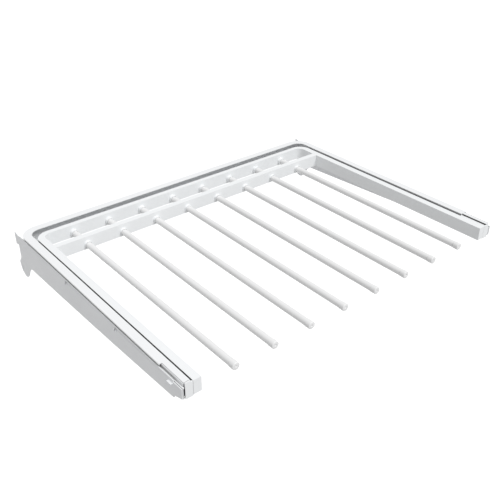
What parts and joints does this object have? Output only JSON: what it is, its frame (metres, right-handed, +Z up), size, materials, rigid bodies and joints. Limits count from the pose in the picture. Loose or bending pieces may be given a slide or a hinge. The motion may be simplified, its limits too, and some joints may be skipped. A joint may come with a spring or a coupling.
{
  "type": "pull-out trouser rack",
  "caption": "Pull-out trouser rack: hook brackets with roller runners carry a U-shaped gliding frame and a moulded insert with a row of straight hanging rods.",
  "frame": {"origin": "middle of the width, in the vertical plane where the brackets bear on the wall uprights, at the height of the rod axes", "axes": "+X to the right across the width, -Y towards the user along the pull-out direction, +Z up"},
  "size_m": [0.608, 0.459, 0.0794],
  "materials": {
    "white_coat": "white powder coat, satin",
    "bracket_coat": "white powder coat, satin, slightly grey",
    "white_plastic": "white moulded plastic, fine satin grain",
    "nylon": "natural nylon",
    "zinc_steel": "zinc-plated steel",
    "black_rubber": "black rubber"
  },
  "bodies": {
    "brackets": {"left_hook_bracket": "bracket_coat", "left_fixed_runner": "white_coat", "left_runner_rivet_1": "zinc_steel", "left_runner_rivet_2": "zinc_steel", "left_rear_buffer": "black_rubber", "left_front_stop": "black_rubber", "left_front_roller_pin": "zinc_steel", "right_hook_bracket": "bracket_coat", "right_fixed_runner": "white_coat", "right_runner_rivet_1": "zinc_steel", "right_runner_rivet_2": "zinc_steel", "right_rear_buffer": "black_rubber", "right_front_stop": "black_rubber", "right_front_roller_pin": "zinc_steel"},
    "rack": {"left_slide_member": "white_coat", "left_slide_screw_1": "zinc_steel", "left_slide_screw_2": "zinc_steel", "left_slide_screw_3": "zinc_steel", "left_rear_roller_pin": "zinc_steel", "left_rail_end_cap": "white_plastic", "right_slide_member": "white_coat", "right_slide_screw_1": "zinc_steel", "right_slide_screw_2": "zinc_steel", "right_slide_screw_3": "zinc_steel", "right_rear_roller_pin": "zinc_steel", "right_rail_end_cap": "white_plastic", "gliding_frame": "white_coat", "insert_frame": "white_plastic", "hanging_rod_1": "white_plastic", "rod_end_cap_1": "white_plastic", "hanging_rod_2": "white_plastic", "rod_end_cap_2": "white_plastic", "hanging_rod_3": "white_plastic", "rod_end_cap_3": "white_plastic", "hanging_rod_4": "white_plastic", "rod_end_cap_4": "white_plastic", "hanging_rod_5": "white_plastic", "rod_end_cap_5": "white_plastic", "hanging_rod_6": "white_plastic", "rod_end_cap_6": "white_plastic", "hanging_rod_7": "white_plastic", "rod_end_cap_7": "white_plastic", "hanging_rod_8": "white_plastic", "rod_end_cap_8": "white_plastic"},
    "left_front_wheel": {"left_front_roller": "nylon"},
    "left_rear_wheel": {"left_rear_roller": "nylon"},
    "right_front_wheel": {"right_front_roller": "nylon"},
    "right_rear_wheel": {"right_rear_roller": "nylon"}
  },
  "joints": [
    {"name": "rack_pull_out", "type": "slide", "parent": "brackets", "child": "rack", "axis": [0, -1, 0], "range_m": [0, 0.3]},
    {"name": "left_front_roller_spin", "type": "hinge", "parent": "brackets", "child": "left_front_wheel", "pos_m": [-0.2928, -0.39, 0.00645], "axis": [1, 0, 0], "continuous": true},
    {"name": "left_rear_roller_spin", "type": "hinge", "parent": "rack", "child": "left_rear_wheel", "pos_m": [-0.2921, -0.047, 0.00065], "axis": [1, 0, 0], "continuous": true},
    {"name": "right_front_roller_spin", "type": "hinge", "parent": "brackets", "child": "right_front_wheel", "pos_m": [0.2928, -0.39, 0.00645], "axis": [1, 0, 0], "continuous": true},
    {"name": "right_rear_roller_spin", "type": "hinge", "parent": "rack", "child": "right_rear_wheel", "pos_m": [0.2921, -0.047, 0.00065], "axis": [1, 0, 0], "continuous": true}
  ],
  "couplings": [
    {"joint": "left_front_roller_spin", "follows": "rack_pull_out", "rad_per_m": 153.85},
    {"joint": "left_rear_roller_spin", "follows": "rack_pull_out", "rad_per_m": 153.85},
    {"joint": "right_front_roller_spin", "follows": "rack_pull_out", "rad_per_m": 153.85},
    {"joint": "right_rear_roller_spin", "follows": "rack_pull_out", "rad_per_m": 153.85}
  ]
}
